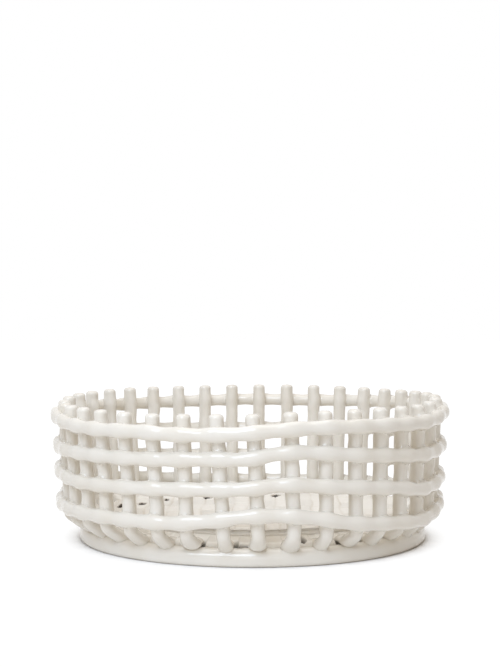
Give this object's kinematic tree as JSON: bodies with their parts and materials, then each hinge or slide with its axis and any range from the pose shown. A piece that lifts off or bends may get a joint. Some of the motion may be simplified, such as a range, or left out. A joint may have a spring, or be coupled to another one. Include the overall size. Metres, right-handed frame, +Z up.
{
  "type": "woven ceramic centrepiece basket",
  "caption": "Round open basket of glazed clay coils: upright posts on a foot ring, bound by wavy hoops, with a scored floor.",
  "frame": {"origin": "on the table, on the axis of the wall, under the middle of the basket", "axes": "+Z up out of the open top; -Y is the side that the picture shows; +X to its right"},
  "size_m": [0.3319, 0.3318, 0.1185],
  "materials": {
    "glaze": "glossy warm white glaze over stoneware, thin on the edges, with small pits and soft ripples",
    "scored_clay": "dry cream glaze over scored and smeared clay"
  },
  "bodies": {
    "root": {"foot_ring": "glaze", "floor_disc": "glaze", "floor_pad": "scored_clay", "rim_hoop": "glaze", "upper_hoop": "glaze", "lower_hoop": "glaze", "base_hoop": "glaze", "post_01": "glaze", "post_02": "glaze", "post_03": "glaze", "post_04": "glaze", "post_05": "glaze", "post_06": "glaze", "post_07": "glaze", "post_08": "glaze", "post_09": "glaze", "post_10": "glaze", "post_11": "glaze", "post_12": "glaze", "post_13": "glaze", "post_14": "glaze", "post_15": "glaze", "post_16": "glaze", "post_17": "glaze", "post_18": "glaze", "post_19": "glaze", "post_20": "glaze", "post_21": "glaze", "post_22": "glaze", "post_23": "glaze", "post_24": "glaze", "post_25": "glaze", "post_26": "glaze", "post_27": "glaze", "post_28": "glaze", "post_29": "glaze", "post_30": "glaze", "post_31": "glaze", "post_32": "glaze", "post_33": "glaze", "post_34": "glaze", "post_35": "glaze", "post_36": "glaze", "post_37": "glaze"}
  },
  "joints": []
}
